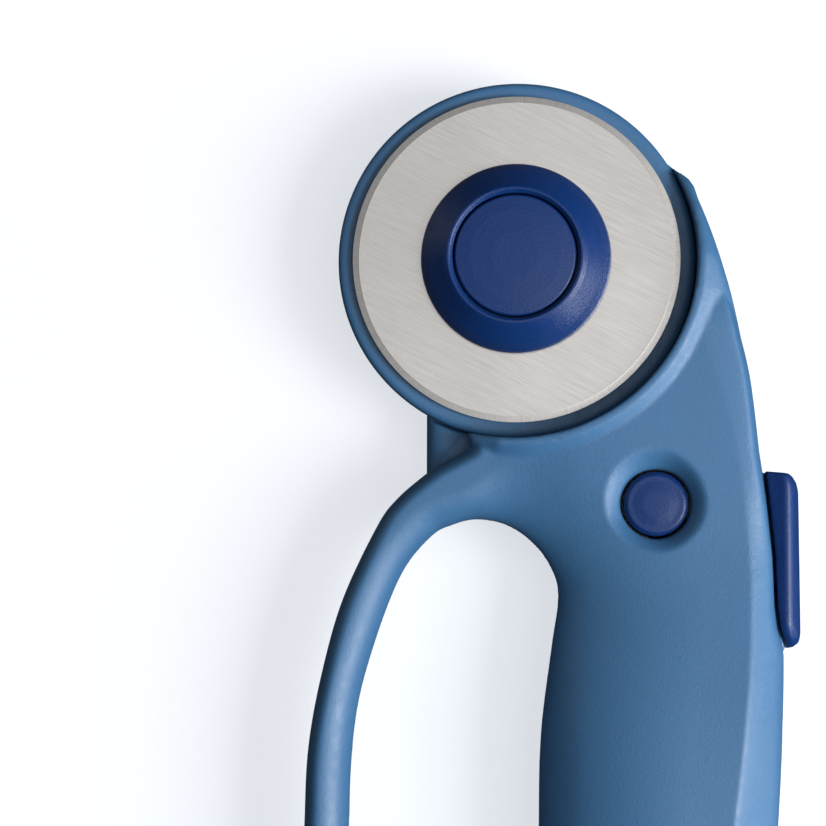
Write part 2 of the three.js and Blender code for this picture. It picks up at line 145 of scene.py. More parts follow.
make_camera()
make_world(0.05)
area_light("overhead", (0.0, 0.08, 0.8), (0.0, 0.0, 0), (0.5, 0.5), 0.8)
area_light("fill", (0.3, -0.16, 0.62), (0.0, -0.03, 0), (0.4, 0.4), 1.3)
area_light("key", (0.63, -0.2, 0.5), (0.02, -0.05, 0.0), (0.4, 0.5), 8.8)
area_light("rim", (0.48, -0.38, 0.12), (0.01, -0.02, 0.012), (0.12, 0.12), 0.8)
area_light("left", (-0.5, 0.25, 0.16), (0.0, -0.05, 0.01), (0.3, 0.6), 0.3)
area_light("card", (0.42, -0.1, 0.06), (0.03, -0.07, 0.01), (0.12, 0.5), 0.9)

# ---------------------------------------------------------------- shape helpers


SPLINE_STEPS = 8


def spline(points, closed=False):
    """A uniform Catmull-Rom curve through points."""
    p = np.asarray(points, float)
    guide = np.vstack([p[-1:], p, p[:2]] if closed else [p[:1], p, p[-1:]])
    t = np.arange(SPLINE_STEPS)[:, None] / SPLINE_STEPS
    spans = []
    for p0, p1, p2, p3 in zip(guide, guide[1:], guide[2:], guide[3:]):
        v1, v2 = (p2 - p0) / 2, (p3 - p1) / 2
        spans.append((2 * p1 - 2 * p2 + v1 + v2) * t**3 + (3 * p2 - 3 * p1 - 2 * v1 - v2) * t**2
                     + v1 * t + p1)
    return np.vstack(spans if closed else [*spans, p[-1:]])


def depth(outline, x, y):
    """How far inside a closed outline the points are; negative outside."""
    start = np.asarray(outline, float)
    nearest = np.full(x.shape, np.inf)
    inside = np.zeros(x.shape, bool)
    for (ax, ay), (bx, by) in zip(start, np.roll(start, -1, 0)):
        ex, ey = bx - ax, by - ay
        length = ex * ex + ey * ey
        if length < 1e-12:
            continue
        t = np.clip(((x - ax) * ex + (y - ay) * ey) / length, 0, 1)
        nearest = np.minimum(nearest, (x - ax - t * ex) ** 2 + (y - ay - t * ey) ** 2)
        if ay != by:
            inside ^= ((ay > y) != (by > y)) & (x < ex * (y - ay) / ey + ax)
    return np.where(inside, 1, -1) * np.sqrt(nearest)


def deep(field):
    """A flat field, made ready to meet the heights."""
    return field[..., None]


def step(low, high, value):
    """0 before low, 1 after high, smooth between; low may be the greater one."""
    t = np.clip((value - low) / (high - low), 0, 1)
    return t * t * (3 - 2 * t)


def both(a, b, round_by=0.0):
    """The material that is in a and in b, with its edge rounded."""
    width = np.maximum(round_by, 1e-6)
    h = np.maximum(width - np.abs(a - b), 0) / width
    return np.minimum(a, b) - h * h * width / 4


def either(a, b, round_by=0.0):
    """The material that is in a or in b, with the corner between them filled."""
    return -both(-a, -b, round_by)


def box_field(x, y, z, low, high):
    """How deep inside a box the points are."""
    sides = [x - low[0], high[0] - x, y - low[1], high[1] - y, z - low[2], high[2] - z]
    inside = sides[0]
    for side in sides[1:]:
        inside = np.minimum(inside, side)
    return inside


def slot_depth(x, y, start, end, half):
    """How far inside a round-ended slot about the line from start to end."""
    ex, ey = end[0] - start[0], end[1] - start[1]
    t = np.clip(((x - start[0]) * ex + (y - start[1]) * ey) / (ex * ex + ey * ey), 0, 1)
    return half - np.hypot(x - start[0] - t * ex, y - start[1] - t * ey)


def on_path(across, along):
    """A place given along the blade's slide and square to it, from the blade's axis."""
    return tuple(ACROSS * across + ALONG * along)


CORNERS = [(i, j, k) for i in (0, 1) for j in (0, 1) for k in (0, 1)]
CELL_EDGES = [(a, b) for a in CORNERS for b in CORNERS
              if a < b and sum(abs(p - q) for p, q in zip(a, b)) == 1]
FLATTEST = 0.004  # keeps a point's correction small where the field hardly changes
STRAY = 0.3  # how far out of its cell a point may move, in cells


def net(field, axes):
    """Meshes the surface where a field on a grid is zero: points, quads and normals."""
    inside = field > 0
    filled = np.zeros([n - 1 for n in field.shape], np.int8)
    for corner in CORNERS:
        filled += inside[tuple(slice(c, c - 1 or None) for c in corner)]
    cells = np.argwhere((filled > 0) & (filled < 8))
    number = np.full(filled.shape, -1, np.int64)
    number[tuple(cells.T)] = np.arange(len(cells))

    def corner_places(corner):
        index = cells + corner
        return tuple(index.T), np.stack([axes[n][index[:, n]] for n in range(3)], 1)

    total, count = np.zeros((len(cells), 3)), np.zeros(len(cells))
    for a, b in CELL_EDGES:
        (at_a, place_a), (at_b, place_b) = corner_places(a), corner_places(b)
        value_a, value_b = field[at_a], field[at_b]
        crossed = (value_a > 0) != (value_b > 0)
        share = np.where(crossed, value_a / np.where(crossed, value_a - value_b, 1), 0)
        total += (place_a + (place_b - place_a) * share[:, None]) * crossed[:, None]
        count += crossed
    points = total / count[:, None]

    slopes = np.gradient(field, *axes)
    low = corner_places((0, 0, 0))[1]
    size = corner_places((1, 1, 1))[1] - low

    def sample(at):
        t = np.clip((at - low) / size, 0, 1)
        value, slope = np.zeros(len(at)), np.zeros((len(at), 3))
        for corner in CORNERS:
            index = tuple((cells + corner).T)
            weight = np.prod([t[:, n] if corner[n] else 1 - t[:, n] for n in range(3)], 0)
            value += weight * field[index]
            slope += weight[:, None] * np.stack([s[index] for s in slopes], 1)
        return value, slope

    value, slope = sample(points)
    steepness = np.maximum((slope**2).sum(1), FLATTEST)
    moved = points - (value / steepness)[:, None] * slope
    points = np.clip(moved, low - STRAY * size, low + (1 + STRAY) * size)
    slope = sample(points)[1]
    normals = -slope / np.maximum(np.linalg.norm(slope, axis=1), 1e-9)[:, None]

    quads = []
    for axis in range(3):
        u, v = (axis + 1) % 3, (axis + 2) % 3
        lower = np.take(inside, range(field.shape[axis] - 1), axis)
        upper = np.take(inside, range(1, field.shape[axis]), axis)
        crossing = np.argwhere(lower != upper)
        outward = lower[tuple(crossing.T)]
        ring = []
        for du, dv in ((1, 1), (0, 1), (0, 0), (1, 0)):
            index = crossing.copy()
            index[:, u] -= du
            index[:, v] -= dv
            ring.append(number[tuple(index.T)])
        ring = np.stack(ring, 1)
        quads.append(np.where(outward[:, None], ring, ring[:, ::-1]))
    return points, np.vstack(quads), normals


def make_piece(name, points, faces, normals, material, body, nodes, slot, place=(0, 0)):
    """An object from millimetre points, riding on a body and standing for CAD nodes."""
    mesh = bpy.data.meshes.new(name)
    mesh.from_pydata(np.asarray(points) * MM, [], faces)
    mesh.update()
    mesh.shade_smooth()
    mesh.normals_split_custom_set_from_vertices(normals)
    mesh.materials.append(material)
    piece = bpy.data.objects.new(name, mesh)
    piece.location = (place[0] * MM, place[1] * MM, 0)
    scene.collection.objects.link(piece)
    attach(piece, body)
    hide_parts(*nodes)


def grid(low, high, pitch):
    """Grid lines a pitch apart from a bit before low to a bit after high."""
    return [np.arange(a - 1.5 * p, b + 2.5 * p, p) for a, b, p in zip(low, high, pitch)]


ARC_STEP = math.radians(12)


def rounded(corners, closed):
    """Points and outward normals along a profile of (radius, height, rounding), with arcs."""
    p = np.array([c[:2] for c in corners], float)
    count = len(p)
    places, normals = [], []
    for i in range(count):
        if not closed and i in (0, count - 1):
            places.append(p[i])
            normals.append((0.0, -1.0 if i == 0 else 1.0))
            continue
        a, b, c = p[i - 1], p[i], p[(i + 1) % count]
        into, out = (b - a) / np.linalg.norm(b - a), (c - b) / np.linalg.norm(c - b)
        turn = math.atan2(into[0] * out[1] - into[1] * out[0], float(into @ out))
        bend = abs(math.tan(turn / 2))
        reach = min(corners[i][2] * bend, 0.49 * np.linalg.norm(b - a),
                    0.49 * np.linalg.norm(c - b))
        radius = reach / max(bend, 1e-6)
        first = np.array([into[1], -into[0]])
        side = 1 if turn > 0 else -1
        centre = b - into * reach - first * radius * side
        steps = max(2, math.ceil(abs(turn) / ARC_STEP))
        for s in range(steps + 1):
            angle = turn * s / steps
            normal = np.array([first[0] * math.cos(angle) - first[1] * math.sin(angle),
                               first[0] * math.sin(angle) + first[1] * math.cos(angle)])
            places.append(centre + normal * radius * side)
            normals.append(tuple(normal))
    return np.array(places), np.array(normals)


def lathe(corners, segments=160):
    """A round solid about the vertical axis: points, faces, normals. Corners run up the outside."""
    closed = corners[0][0] > 0
    if not closed:
        corners = [(*corners[0][:2], 0), *corners[1:-1], (*corners[-1][:2], 0)]
    profile, slopes = rounded(corners, closed)
    count = len(profile)
    angle = np.arange(segments) * 2 * math.pi / segments
    points, normals, rows = [], [], []
    for (radius, height), (out, up) in zip(profile, slopes):
        if radius < 1e-9:
            rows.append(np.full(segments, len(points)))
            points.append((0, 0, height))
            normals.append((0, 0, up))
            continue
        rows.append(len(points) + np.arange(segments))
        for a in angle:
            points.append((radius * math.cos(a), radius * math.sin(a), height))
            normals.append((out * math.cos(a), out * math.sin(a), up))
    faces = []
    for j in range(count if closed else count - 1):
        low, high = rows[j], rows[(j + 1) % count]
        for i in range(segments):
            ring = [low[i], low[i - segments + 1], high[i - segments + 1], high[i]]
            faces.append([int(v) for n, v in enumerate(ring) if v not in ring[:n]])
    return np.array(points), faces, np.array(normals)


# ---------------------------------------------------------------- materials


class Shade:
    """A node material, built by short calls."""

    def __init__(self, name):
        self.material = bpy.data.materials.new(name)
        self.material.use_nodes = True
        self.tree = self.material.node_tree
        self.surface = self.tree.nodes["Principled BSDF"]
        self.place = self.node("ShaderNodeTexCoord").outputs["Object"]

    def node(self, kind, inputs=None, **settings):
        made = self.tree.nodes.new(kind)
        for key, value in settings.items():
            setattr(made, key, value)
        for key, value in (inputs or {}).items():
            self.feed(made.inputs[key], value)
        return made

    def feed(self, socket, value):
        if isinstance(value, bpy.types.NodeSocket):
            self.tree.links.new(value, socket)
        else:
            socket.default_value = value

    def set(self, **values):
        for key, value in values.items():
            self.feed(self.surface.inputs[key.replace("_", " ").title().replace("Ior", "IOR")],
                      value)

    def noise(self, scale, detail=2.0, place=None, rough=0.5):
        inputs = {"Vector": place or self.place, "Scale": scale, "Detail": detail,
                  "Roughness": rough}
        return self.node("ShaderNodeTexNoise", inputs).outputs["Fac"]

    def span(self, value, low, high, start=0.3, end=0.7):
        inputs = {"Value": value, "From Min": start, "From Max": end, "To Min": low, "To Max": high}
        return self.node("ShaderNodeMapRange", inputs).outputs["Result"]

    def math(self, operation, *values):
        made = self.node("ShaderNodeMath", operation=operation)
        for socket, value in zip(made.inputs, values):
            self.feed(socket, value)
        return made.outputs["Value"]

    def mix(self, share, a, b):
        made = self.node("ShaderNodeMix", data_type="RGBA")
        self.feed(made.inputs["Factor"], share)
        self.feed(made.inputs["A"], a)
        self.feed(made.inputs["B"], b)
        return made.outputs["Result"]

    def bump(self, height, distance):
        inputs = {"Height": height, "Distance": distance * MM}
        return self.node("ShaderNodeBump", inputs).outputs["Normal"]


def linear(red, green, blue):
    """A linear colour from sRGB values of 0 to 255."""
    values = [v / 255 for v in (red, green, blue)]
    return (*(v / 12.92 if v <= 0.04045 else ((v + 0.055) / 1.055) ** 2.4 for v in values), 1)


def shade_of(colour, share):
    """The colour, darker or lighter by a share."""
    return tuple(min(1, share * c) for c in colour[:3]) + (1,)


def moulded(name, colour, roughness, grain, sheen):
    """Moulded plastic with a fine spark-eroded grain and a slightly uneven tone."""
    s = Shade(name)
    tone = s.span(s.noise(45, 3), 0, 1)
    s.set(base_color=s.mix(tone, shade_of(colour, 0.94), shade_of(colour, 1.05)))
    s.set(roughness=s.span(s.noise(900, 3), roughness - 0.05, roughness + 0.06))
    fine = s.noise(3600, 2)
    coarse = s.noise(1900, 2)
    height = s.math("ADD", s.math("MULTIPLY", fine, 0.65), s.math("MULTIPLY", coarse, 0.5))
    s.set(normal=s.bump(height, grain))
    s.set(ior=1.46, specular_ior_level=sheen)
    return s.material


def brushed(name, colour, roughness, turn, stretch, ground_from=1.0):
    """Ground steel with fine straight marks; turn takes their direction onto the X axis.

    Beyond the radius ground_from, in metres, the marks are radial and the tone is duller.
    """
    s = Shade(name)
    turned = s.node("ShaderNodeMapping",
                    {"Vector": s.place, "Rotation": (0, 0, math.radians(turn))})
    lay = s.node("ShaderNodeMapping", {"Vector": turned.outputs["Vector"],
                                       "Scale": (1, stretch, 1)}).outputs["Vector"]
    parts = s.node("ShaderNodeSeparateXYZ", {"Vector": s.place})
    x, y = parts.outputs["X"], parts.outputs["Y"]
    radius = s.math("SQRT", s.math("ADD", s.math("MULTIPLY", x, x), s.math("MULTIPLY", y, y)))
    ground = s.span(radius, 0, 1, ground_from, ground_from + 0.0001)
    spoke = s.node("ShaderNodeCombineXYZ", {"X": s.math("ARCTAN2", y, x), "Y": radius})
    spokes = s.noise(170, 4, spoke.outputs["Vector"], 0.7)
    marks = s.noise(150, 6, lay, 0.68)
    cloud = s.noise(60, 4)
    tone = s.math("ADD", s.math("MULTIPLY", marks, 0.7), s.math("MULTIPLY", cloud, 0.3))
    flat = s.mix(s.span(tone, 0, 1, 0.39, 0.61), shade_of(colour, 0.8), colour)
    bevel = s.mix(s.span(spokes, 0, 1, 0.35, 0.65), shade_of(colour, 0.78), colour)
    s.set(base_color=s.mix(ground, flat, bevel))
    s.set(metallic=1.0)
    s.set(roughness=s.math("ADD", s.span(marks, roughness - 0.05, roughness + 0.05),
                           s.math("ADD", s.span(cloud, -0.02, 0.03),
                                  s.math("MULTIPLY", ground, 0.08))))
    s.set(normal=s.bump(marks, 0.01))
    return s.material


blue = moulded("moulded_blue", linear(54, 98, 138), 0.48, 0.05, 0.55)
navy = moulded("moulded_navy", linear(6, 43, 97), 0.38, 0.045, 0.4)
blade_steel = brushed("ground_steel", linear(212, 209, 206), 0.36, 27, 30, 0.0217)
turned_steel = brushed("turned_steel", linear(196, 196, 198), 0.28, 0, 12)
screw_steel = brushed("zinc_steel", linear(150, 152, 156), 0.38, 10, 4)
spring_steel = brushed("spring_steel", linear(158, 160, 164), 0.32, 60, 10)
# painted shade: the lock's clip shows through the gap round the lock button, so its steel is
# painted dark to stand for the shadow in that gap
gap_shade_spring = brushed("gap_shade_spring", linear(52, 52, 54), 0.5, 60, 10)
acetal = moulded("acetal", linear(226, 224, 216), 0.45, 0.02, 0.5)

# ---------------------------------------------------------------- the two shells


def section(outer, inner, outer_width, inner_width, rise, height):
    """A rounded cross-section: material below an oval crown that falls off to both edges."""
    from_outer = deep(np.maximum(1 - outer / outer_width, 0))
    from_inner = deep(np.maximum(1 - inner / inner_width, 0))
    up = rise / deep(height)
    reach = np.sqrt(from_outer * from_outer + from_inner * from_inner + up * up)
    scale = deep(np.minimum(np.minimum(outer_width, inner_width), height))
    return (1 - reach) * scale


PITCH = 0.36
EDGE_PITCH = 0.23  # across the steep right side
TAIL_PITCH = 0.5  # along the plain lower half
LAYER = 0.37


class Plan:
    """The grid for a shell and the flat distances that both shells use."""

    def __init__(self, low_z, high_z):
        xs = np.concatenate([np.arange(-30.3, 27, PITCH), np.arange(27.06, 38.4, EDGE_PITCH)])
        head = np.arange(26.4, -79, -PITCH)
        tail = np.arange(head[-1] - TAIL_PITCH, -149, -TAIL_PITCH)
        ys = np.concatenate([head, tail])[::-1]
        zs = np.arange(low_z - 0.55, high_z + 0.8, LAYER)
        self.axes = (xs, ys, zs)
        self.x, self.y = np.meshgrid(xs, ys, indexing="ij")
        self.z = zs[None, None, :]
        self.radius = np.hypot(self.x, self.y)
        self.turn = np.degrees(np.arctan2(self.y, self.x))
        self.opening = -depth(spline(OPENING, closed=True), self.x, self.y)
        self.lock_radius = np.hypot(self.x - LOCK[0], self.y - LOCK[1])
        self.room = depth(spline(GRIP_ROOM), self.x, self.y)

    def disc(self, x, y, radius):
        """How far inside a circle the grid's columns are."""
        return deep(radius - np.hypot(self.x - x, self.y - y))

    def pocket(self, corners, bottom, top):
        """How far inside a box, given by its corners in plan and its two heights."""
        low, high = corners
        return box_field(deep(self.x), deep(self.y), self.z, (*low, bottom), (*high, top))

    def hollow(self, body):
        """The empty middle of the grip, a wall inside the body and clear of the screw bosses."""
        room = both(body - WALL, deep(self.room))
        for sx, sy, tip in SHELL_SCREWS:
            if tip == LONG_TIP:
                room = both(room, -self.disc(sx, sy, BOSS_R))
        return room


# The facet down the right side: its slope, and how far its ridge lies inside the edge, by y
FACET_Y = [-110, -76, -66, -60, -55, -49, -44, -38, -30, -24, -16]
FACET_SLOPE = [1.6, 1.6, 1.75, 1.9, 1.8, 1.4, 1.1, 0.7, 0.33, 0.22, 0.14]
FACET_RIDGE = [5.3, 5.1, 4.35, 3.9, 3.4, 2.8, 2.3, 2.1, 1.8, 2.0, 3.0]
FACET_FAR_SIDE = [(12, -150), (-60, -200), (-60, 20)]

# The lip round the guard disc: its height and outward slope, by degrees about the blade's axis
LIP_HEIGHT = ([-106, -100, -95, -88, -70, -50, -20, 0, 15, 27],
              [13.8, 15.2, 16.2, 16.6, 17.2, LIP_TOP, LIP_TOP, 17.0, 15.5, 13.0])
LIP_SLOPE = ([-100, -85, -60, -40, -25, -10, 20], [1.4, 1.15, 1.0, 0.9, 0.9, 0.6, 0.9])
CREST_R = 25.9
LIP_END_R = 34.0

DISH_SLOPE = 1.3  # of the hollow round the lock button
DISH_R = 6.5
LOCK_BORE = 4.7
SOCKET_TIGHT = 0.12  # the near shell closes round the guard disc by this much


def near_grip(p, edge):
    """The near half of the grip and loop: the height of its crown, and its field."""
    x, y = p.x, p.y
    rise = p.z - PARTING
    bottom = step(-122, -140, y)
    # narrow roundings and a low crown along the loop, a wide slope and a high crown on the grip
    outer_width = 2.1 - 0.5 * step(0, 12, x) + 4.5 * bottom * step(-20, 10, x)
    inner_width = 4.2 + 15.8 * step(-8, 9, x)
    main = 6.4 - 3.6 * step(-10, 12, y) + 3.6 * step(-36, -72, y)
    crown = 4.7 + (main - 4.7) * step(-4, 9, x)
    grip = section(edge, p.opening, outer_width, inner_width, rise, crown)

    facet_depth = depth(np.vstack([spline(SMOOTH_EDGE), FACET_FAR_SIDE]), x, y)
    slope = np.interp(y, FACET_Y, FACET_SLOPE)
    ridge = np.interp(y, FACET_Y, FACET_RIDGE)
    facet = deep(crown + slope * (facet_depth - ridge)) - rise
    return crown, both(grip, facet / deep(np.hypot(1, slope)), deep(0.15 + 0.65 * slope))


def near_lip(p, edge):
    """The raised lip that half surrounds the guard disc."""
    top = np.interp(p.turn, *LIP_HEIGHT)
    slope = np.interp(p.turn, *LIP_SLOPE)
    crest = top - np.maximum(p.radius - CREST_R, 0) * slope
    lip = (deep(crest) - p.z) / deep(np.hypot(1, slope))
    lip = both(lip, deep(edge), 1.0)
    return both(lip, deep(LIP_END_R - p.radius))


def near_shell():
    """The near half of the handle, with the lip and the dish, hollowed and bored."""
    p = Plan(PARTING, GRIP_TOP)
    x, y, z = p.x, p.y, p.z
    outline = np.vstack([TIP, spline(BACK_EDGE), SEAT[:-1],
                         spline(SEAT[-1:] + RIGHT_SIDE + LOOP_OUTER),
                         [(-10.9, -28.4), (-6.35, -26), (-6.7, -23.4), (0, 0)]])
    edge = depth(outline, x, y)
    crown, grip = near_grip(p, edge)
    body = either(grip, near_lip(p, edge), deep(0.22 * step(0, 1.5, edge)))
    room = p.hollow(body)

    body = both(body, deep(p.radius - SOCKET_R + SOCKET_TIGHT), 0.2)
    rim = crown + 0.9 * step(-35, -41, y) + 0.9 * step(20, 27, x)
    dish = deep(PARTING + rim + 0.1 + DISH_SLOPE * (p.lock_radius - DISH_R)) - z
    body = both(body, dish / math.hypot(1, DISH_SLOPE), 0.9)
    body = both(body, deep(p.lock_radius - LOCK_BORE), 0.3)
    body = both(body, z - PARTING - HALF_GAP, 0.5)
    clip_room = both(deep(6.4 - p.lock_radius), 12.6 - z)
    cuts = [room, clip_room, p.pocket(LINK_POCKET, 4, 12.2), p.pocket(ARM_POCKET, 8, 12)]
    for sx, sy, tip in SHELL_SCREWS:
        cuts.append(both(p.disc(sx, sy, SHELL_BORE), tip + 0.3 - z))
    for cut in cuts:
        body = both(body, -cut)
    make_piece("near_handle_shell", *net(body, p.axes), blue, "handle", ["near_shell"], "body_blue")


FAR_HEAD_LEFT = [(-12.55, -20.5), (-16.2, -13.5), (-18.8, -4), (-17.4, 7), (-11.4, 15),
                 (-3, 18.4), (7, 18.6), (16, 16), (20.4, 13.9), (22, 12.6), (23.3, 11.5),
                 (24.3, 10), (24.9, 8)]
TRACK_FLOOR = 4.6  # bottom of the track that the carriage's arm slides in
SPRING_ROOM = [(4, -13.5), (10.9, -13.5), (10.9, -22.5), (8.1, -24), (8.1, -35), (4, -35)]


def far_shell():
    """The far half: grip, loop, the housing of the carriage and the ledge under the slider."""
    p = Plan(0, PARTING)
    x, y, z = p.x, p.y, p.z
    drop = PARTING - z
    outline = np.vstack([[(24.9, 8)], spline(BACK_EDGE[1:]), SEAT[:-1],
                         spline(SEAT[-1:] + RIGHT_SIDE + LOOP_OUTER), [(-6, -22), (0, 0)]])
    edge = depth(outline, x, y)
    bottom = step(-122, -140, y)
    grip = step(-2, 9, x) * step(-30, -38, y)
    width = 3.3 + 2.4 * grip + 2 * bottom * grip
    height = PARTING - LOOP_BOTTOM + (LOOP_BOTTOM + 0.25) * grip
    body = section(edge, p.opening, width, width, drop, height)
    shelf = both(deep(depth(SHELF, x, y)), both(SHELF_TOP - z, z - SHELF_BOTTOM), 0.8)
    body = either(body, shelf, 0.3)

    head_outline = np.vstack([spline(BACK_EDGE[1:]), [(34.95, -45.6), (6.4, -45.6), (4.8, -41.8)],
                              spline([(1.8, -38.3), (-5.35, -35.8)]),
                              [(-9.4, -34.2), (-12.55, -29.6)], spline(FAR_HEAD_LEFT)])
    head_edge = depth(head_outline, x, y)
    head = both(deep(head_edge), z, 1.6)
    soft_head = both(head, PARTING - HALF_GAP - z, 3.4)
    head = np.where(deep((x < -7) & (y < -15)), soft_head, head)
    inside = np.minimum(edge, p.opening)
    body = either(body, head, deep(1.2 * step(0.5, 4, inside)))
    body = both(body, deep(p.opening) - 0.1 - 0.15 * drop)
    room = p.hollow(body)
    body = both(body, z - 0.02, 0.5)
    body = both(body, PARTING - HALF_GAP - z, 0.5)
    socket = both(deep(SOCKET_R - p.radius), z - GUARD_BOTTOM + 0.3)
    forward = on_path(0, BLADE_TRAVEL)
    arm = both(deep(slot_depth(x, y, forward, on_path(0, -54), 5.7)), z - TRACK_FLOOR)
    ring = both(deep(slot_depth(x, y, (0, 0), forward, 9)), z - 3.2)
    spring = both(deep(depth([on_path(*c) for c in SPRING_ROOM], x, y)), z - TRACK_FLOOR)
    cuts = [room, socket, arm, ring, spring, p.pocket(LINK_POCKET, TRACK_FLOOR, 14),
            p.pocket(ARM_POCKET, 8, 14), deep(4 - p.lock_radius)]
    for sx, sy, _ in SHELL_SCREWS:
        cuts += [p.disc(sx, sy, SHELL_BORE), both(p.disc(sx, sy, 2.75), 3.6 - z)]
    for sx, sy in GUARD_SCREWS:
        cuts += [p.disc(sx, sy, GUARD_BORE), both(p.disc(sx, sy, 2.7), 3.2 - z)]
    for cut in cuts:
        body = both(body, -cut, 0.25)
    make_piece("far_handle_shell", *net(body, p.axes), blue, "handle", ["far_shell"], "body_blue")


near_shell()
far_shell()

# ---------------------------------------------------------------- guard disc


def guard():
    """The disc behind the blade, with the axle's slot and blind screw holes."""
    axes = grid((-GUARD_R, -GUARD_R, GUARD_BOTTOM), (GUARD_R, GUARD_R, GUARD_TOP), (0.3, 0.3, 0.2))
    x, y, z = np.meshgrid(*axes, indexing="ij", sparse=True)
    radius = np.hypot(x, y)
    disc = both(GUARD_R - radius, GUARD_TOP - z, 1.1)  # the rounded rim seen round the blade
    disc = both(disc, z - GUARD_BOTTOM, 0.5)
    slot = slot_depth(x, y, (0, 0), on_path(0, BLADE_TRAVEL), 4.3)
    disc = both(disc, -slot, 0.3)
    for sx, sy in GUARD_SCREWS:
        disc = both(disc, -both(GUARD_BORE - np.hypot(x - sx, y - sy), 10.9 - z))
    make_piece("guard_disc", *net(disc, axes), blue, "handle", ["guard_plate"], "body_blue")


guard()

# ---------------------------------------------------------------- blade, knob and buttons

# Profiles of (radius, height, rounding), up the outside
blade_corners = [(BLADE_HOLE_R, BLADE_BOTTOM, 0.02), (BEVEL_R, BLADE_BOTTOM, 0.05),
                 (BLADE_R, 12.43, 0.01), (BLADE_R, 12.47, 0.01),
                 (BEVEL_R, BLADE_TOP, 0.05), (BLADE_HOLE_R, BLADE_TOP, 0.02)]
make_piece("ground_blade", *lathe(blade_corners, 256), blade_steel, "blade", ["rotary_blade"],
           "blade_steel")

knob_corners = [(3.4, KNOB_BOTTOM, 0.1), (12.75, KNOB_BOTTOM, 0.15),
                (13.06, 13.15, 0.15), (12.85, 13.75, 0.25),
                (12.0, 14.9, 0.8), (9.85, 16.9, 0.7), (9.3, 17.3, 0.4), (8.95, 17.3, 0.3),
                (8.55, 16.8, 0.2), (8.5, 13.9, 0.1), (3.4, 13.9, 0.1)]
make_piece("blade_knob_ring", *lathe(knob_corners), navy, "knob", ["blade_knob"], "accent_navy")

button_corners = [(0, 16.6, 0), (6.4, 16.6, 0.05), (6.4, 15.5, 0.05), (8.3, 15.5, 0.1),
                  (8.3, 16.8, 0.35), (6.2, 17.02, 3), (3.2, 17.2, 5), (0, 17.25, 0)]
make_piece("release_disc", *lathe(button_corners), navy, "release", ["release_button"],
           "accent_navy")

lock_corners = [(0, 9, 0), (1.1, 9, 0.05), (1.1, 5, 0.05), (2.2, 5, 0.1), (2.2, 7.9, 0.05),
                (3.4, 7.9, 0.2), (3.4, 11, 0.05), (4.35, 11, 0.2), (4.35, 14.5, 0.35),
                (3.9, 14.9, 0.7), (3.1, 14.93, 1.2), (1.8, 15.1, 2), (0, 15.2, 0)]
make_piece("lock_bolt", *lathe(lock_corners, 96), navy, "lock", ["lock_button"], "accent_navy",
           LOCK)

cap_corners = [(1.1, 4.1, 0.05), (1.9, 4.1, 0.05), (1.9, 2.9, 0.1), (3.6, 2.9, 0.4),
               (3.6, 4.7, 0.1), (1.1, 4.7, 0.05)]
make_piece("unlock_disc", *lathe(cap_corners, 96), navy, "lock", ["unlock_cap"], "accent_navy",
           LOCK)

# ---------------------------------------------------------------- thumb slider


CAP_OUTLINE = [(33.9, -29.2), (37, -29.5), (37.6, -29.9), (38.2, -30.7), (38.55, -32),
               (38.9, -51.2), (38.5, -52.3), (37.7, -53), (36.7, -53.2), (35.9, -50.8),
               (35.4, -47.6), (35.15, -40.8), (34.5, -34)]
CAP_ROOT_X = 35.0  # where the cap leaves the handle, and how high it is there
CAP_ROOT_BOTTOM = 6.4
CAP_ROOT_TOP = 13.6
CAP_SPREAD = 0.35  # it grows thicker outwards by this much above and below
CAP_FACE_X = 38.95
CAP_BEVEL = 2.2
BEVEL_SCALE = 2.4  # makes the bevel's field a distance
CAP_NOSE = 1.3  # slope at the end towards the grip
NOSE_SCALE = 1.64
ARM_LOW = (25, -47.2, 8.35)
ARM_HIGH = (36.6, -39.3, 11.65)


def slider():
    """The cap that the thumb pushes, and the arm that carries it into the handle."""
    axes = grid((ARM_LOW[0], -53.1, 4.5), (39, -29.2, 15.5), (0.24, 0.24, 0.24))
    x, y, z = np.meshgrid(*axes, indexing="ij", sparse=True)
    edge = deep(depth(CAP_OUTLINE, *np.broadcast_arrays(x[..., 0], y[..., 0])))
    spread = CAP_SPREAD * (x - CAP_ROOT_X)
    thick = both(z - CAP_ROOT_BOTTOM + spread, CAP_ROOT_TOP + spread - z, 0.5)
    thick /= math.hypot(1, CAP_SPREAD)
    cap = both(edge, thick, 0.4 + 1.1 * step(35.8, 37.4, x))
    bevel = (CAP_FACE_X - x) * CAP_BEVEL
    cap = both(cap, (10.3 + bevel - z) / BEVEL_SCALE, 0.9)
    cap = both(cap, (z - 9.7 + bevel) / BEVEL_SCALE, 0.9)
    nose = (y + 53.6) * CAP_NOSE
    cap = both(cap, (11.2 + nose - z) / NOSE_SCALE, 1.6)
    field = either(cap, box_field(x, y, z, ARM_LOW, ARM_HIGH), 0.3)
    pin_hole = LINK_R - np.hypot(x - LINK[0], y - LINK[1])
    field = both(field, -pin_hole)
    make_piece("thumb_slider_cap", *net(field, axes), navy, "slider", ["thumb_slider"],
               "accent_navy")


slider()

# ---------------------------------------------------------------- screws


THREAD_PITCH = 0.9
THREAD_DEPTH = 0.12


